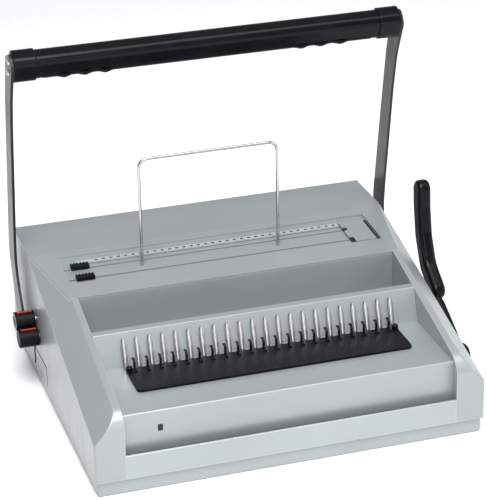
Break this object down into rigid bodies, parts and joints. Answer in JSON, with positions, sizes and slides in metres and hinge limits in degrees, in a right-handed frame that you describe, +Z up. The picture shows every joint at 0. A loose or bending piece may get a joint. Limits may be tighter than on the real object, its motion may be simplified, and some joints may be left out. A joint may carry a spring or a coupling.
{
  "type": "comb binding machine",
  "caption": "Manual desktop punch and binder for plastic combs and wire loops, with a full width handle, comb opening lever and side dials.",
  "frame": {"origin": "on the table under the machine, in the middle of its width; the base reaches 204 mm forward and 180 mm back of it", "axes": "+Z up, +X to the right of the operator, who stands at -Y facing the comb station"},
  "size_m": [0.4748, 0.3884, 0.3903],
  "materials": {
    "housing_grey": "satin silver grey paint",
    "front_grey": "satin light grey paint",
    "arm_grey": "gloss grey enamel",
    "grip_black": "polished black",
    "black_plastic": "fine matt black",
    "black_steel": "satin black enamel",
    "bright_steel": "bright nickel",
    "plain_steel": "zinc plated",
    "white_strip": "matt white",
    "red_mark": "matt red",
    "foot_rubber": "matt black rubber"
  },
  "bodies": {
    "housing": {"base_tray": "housing_grey", "rubber_feet": "foot_rubber", "base_screws": "plain_steel", "left_side_panel": "housing_grey", "right_side_panel": "housing_grey", "rear_cover": "housing_grey", "slot_deck": "housing_grey", "trough_tray": "housing_grey", "comb_panel": "housing_grey", "comb_fingers": "bright_steel", "shelf_panel": "housing_grey", "front_cover": "front_grey", "left_frame": "plain_steel", "right_frame": "plain_steel", "shaft_bushes": "plain_steel", "handle_springs": "plain_steel", "die_block": "plain_steel", "hole_strip": "white_strip", "end_plate": "housing_grey", "cover_screws": "plain_steel", "drawer_rails": "black_plastic", "lever_boss": "housing_grey", "lever_bracket": "plain_steel"},
    "punch_handle": {"punch_shaft": "plain_steel", "punch_cams": "plain_steel", "left_arm": "arm_grey", "right_arm": "arm_grey", "left_end_cap": "grip_black", "right_end_cap": "grip_black", "handle_tube": "grip_black", "grip_insert": "black_plastic", "arm_screws": "bright_steel", "hub_caps": "grip_black"},
    "comb_punch_carrier": {"comb_punch_bar": "plain_steel", "comb_punches": "plain_steel"},
    "wire_punch_carrier": {"wire_punch_bar": "plain_steel", "wire_punches": "plain_steel"},
    "wire_closer": {"closing_jaw": "black_plastic"},
    "upper_dial": {"upper_knob": "black_plastic", "upper_knob_mark": "red_mark", "upper_lead_screw": "plain_steel"},
    "lower_dial": {"lower_knob": "black_plastic", "lower_knob_mark": "red_mark", "lower_lead_screw": "plain_steel"},
    "rear_stop": {"rear_edge_stop": "black_plastic"},
    "front_stop": {"front_edge_stop": "black_plastic"},
    "sheet_support": {"paper_support": "bright_steel"},
    "waste_drawer": {"chip_drawer": "black_plastic", "drawer_front": "housing_grey"},
    "opening_lever": {"lever_plate": "black_steel", "lever_grip": "grip_black", "lever_cap": "black_plastic", "lever_shaft": "plain_steel", "lever_pinions": "plain_steel"},
    "hook_carriage": {"hook_plate": "black_steel", "opener_hooks": "black_steel", "carriage_racks": "black_steel", "guide_pins": "grip_black"}
  },
  "joints": [
    {"name": "handle_swing", "type": "hinge", "parent": "housing", "child": "punch_handle", "pos_m": [0, 0.095, 0.047], "axis": [1, 0, 0], "range_deg": [0, 37]},
    {"name": "comb_punch_stroke", "type": "slide", "parent": "housing", "child": "comb_punch_carrier", "axis": [0, -1, 0], "range_m": [0, 0.008]},
    {"name": "wire_punch_stroke", "type": "slide", "parent": "housing", "child": "wire_punch_carrier", "axis": [0, 1, 0], "range_m": [0, 0.008]},
    {"name": "closing_stroke", "type": "slide", "parent": "housing", "child": "wire_closer", "axis": [0, -1, 0], "range_m": [0, 0.0045]},
    {"name": "upper_dial_turn", "type": "hinge", "parent": "housing", "child": "upper_dial", "pos_m": [-0.2, 0.063, 0.0805], "axis": [1, 0, 0], "range_deg": [-180, 180]},
    {"name": "lower_dial_turn", "type": "hinge", "parent": "housing", "child": "lower_dial", "pos_m": [-0.2, 0.0465, 0.0665], "axis": [1, 0, 0], "range_deg": [-180, 180]},
    {"name": "rear_stop_travel", "type": "slide", "parent": "housing", "child": "rear_stop", "axis": [1, 0, 0], "range_m": [-0.004, 0.004]},
    {"name": "front_stop_travel", "type": "slide", "parent": "housing", "child": "front_stop", "axis": [1, 0, 0], "range_m": [-0.004, 0.004]},
    {"name": "support_height", "type": "slide", "parent": "housing", "child": "sheet_support", "axis": [0, 0, 1], "range_m": [-0.077, 0]},
    {"name": "drawer_travel", "type": "slide", "parent": "housing", "child": "waste_drawer", "axis": [-1, 0, 0], "range_m": [0, 0.22]},
    {"name": "lever_swing", "type": "hinge", "parent": "housing", "child": "opening_lever", "pos_m": [0, -0.115, 0.046], "axis": [1, 0, 0], "range_deg": [0, 70]},
    {"name": "carriage_travel", "type": "slide", "parent": "housing", "child": "hook_carriage", "axis": [0, -1, 0], "range_m": [0, 0.0343]}
  ],
  "couplings": [
    {"joint": "comb_punch_stroke", "follows": "handle_swing", "m_per_rad": 0.012233},
    {"joint": "wire_punch_stroke", "follows": "handle_swing", "m_per_rad": 0.012233},
    {"joint": "closing_stroke", "follows": "handle_swing", "m_per_rad": 0.006814},
    {"joint": "rear_stop_travel", "follows": "upper_dial_turn", "m_per_rad": 0.00125},
    {"joint": "front_stop_travel", "follows": "lower_dial_turn", "m_per_rad": 0.00125},
    {"joint": "carriage_travel", "follows": "lever_swing", "m_per_rad": 0.028}
  ]
}
